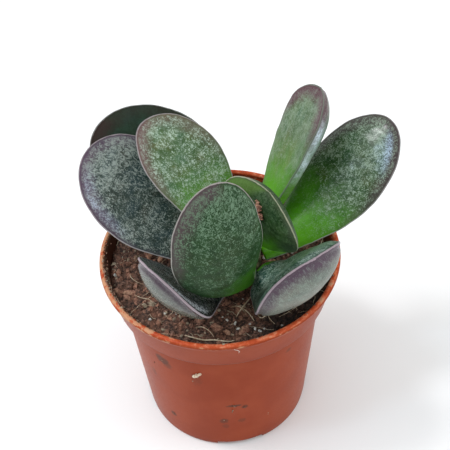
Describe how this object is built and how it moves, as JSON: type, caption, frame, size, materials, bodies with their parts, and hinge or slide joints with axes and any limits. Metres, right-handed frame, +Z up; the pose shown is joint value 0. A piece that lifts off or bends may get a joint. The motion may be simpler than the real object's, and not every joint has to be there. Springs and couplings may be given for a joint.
{
  "type": "potted adromischus",
  "caption": "Small potted succulent with thick rounded leaves on a short stem, rooted in peat in a round plastic nursery pot that stands free.",
  "frame": {"origin": "middle of the pot's underside, on the surface that it stands on", "axes": "+Z up along the pot's axis; -Y towards the front, where the picture was taken from; +X to its right"},
  "size_m": [0.0701, 0.058, 0.0895],
  "materials": {
    "pot_plastic": "satin injection-moulded plastic, terracotta coloured, with soil marks",
    "peat": "damp crumbly dark peat with fibres and pale perlite grains",
    "stem_bark": "dull green-brown bark with ringed leaf scars",
    "leaf_speckled": "waxy green skin with pale grey speckles and a purple-brown edge",
    "leaf_dark": "waxy dark grey-green skin with a violet sheen and a pale horny margin",
    "leaf_young": "waxy bright green skin with a cream margin"
  },
  "bodies": {
    "root": {"pot": "pot_plastic", "soil": "peat", "stem": "stem_bark", "leaf_back_left": "leaf_dark", "leaf_upper_left": "leaf_speckled", "leaf_left": "leaf_dark", "leaf_front": "leaf_speckled", "leaf_middle": "leaf_young", "leaf_upright": "leaf_speckled", "leaf_right": "leaf_speckled", "leaf_front_left": "leaf_dark", "leaf_front_right": "leaf_dark"}
  },
  "joints": []
}
